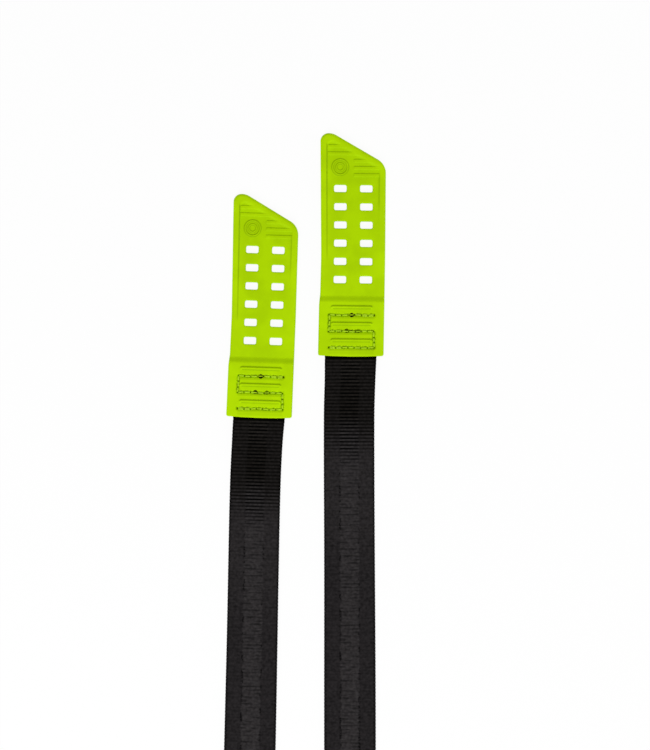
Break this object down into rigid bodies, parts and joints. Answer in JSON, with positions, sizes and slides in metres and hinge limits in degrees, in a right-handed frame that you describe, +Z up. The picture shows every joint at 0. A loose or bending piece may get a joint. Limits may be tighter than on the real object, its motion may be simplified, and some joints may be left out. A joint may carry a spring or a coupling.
{
  "type": "crampon binding straps",
  "caption": "Pair of flat webbing binding straps, each sewn into the slot of a moulded ladder tab whose windows hang on a two-pronged hook.",
  "frame": {"origin": "bottom centre of the pair's bounding box, on the surface the straps lie on", "axes": "+Y along the straps towards the tab tips, +X to the right seen from the front of the tabs, +Z up out of the surface"},
  "size_m": [0.0825, 0.4178, 0.0048],
  "materials": {
    "urethane": "satin moulded urethane, lime green",
    "webbing": "woven nylon webbing, black",
    "thread": "bonded nylon thread, lime green"
  },
  "bodies": {
    "right_tab": {"right_tab": "urethane", "right_webbing_end": "webbing", "right_needle_thread": "thread", "right_bobbin_thread": "thread"},
    "right_webbing": {"right_webbing": "webbing"},
    "left_tab": {"left_tab": "urethane", "left_webbing_end": "webbing", "left_needle_thread": "thread", "left_bobbin_thread": "thread"},
    "left_webbing": {"left_webbing": "webbing"}
  },
  "joints": [
    {"name": "right_webbing_fold", "type": "hinge", "parent": "right_tab", "child": "right_webbing", "pos_m": [0.02387, 0.09656, 0.0021], "axis": [0.9999, -0.0113, 0], "range_deg": [-90, 90]},
    {"name": "straps_apart", "type": "slide", "parent": "right_tab", "child": "left_tab", "axis": [-1, 0, 0], "range_m": [0, 0.12]},
    {"name": "left_webbing_fold", "type": "hinge", "parent": "left_tab", "child": "left_webbing", "pos_m": [-0.02166, 0.06616, 0.0021], "axis": [0.9995, -0.0332, 0], "range_deg": [-90, 90]}
  ]
}
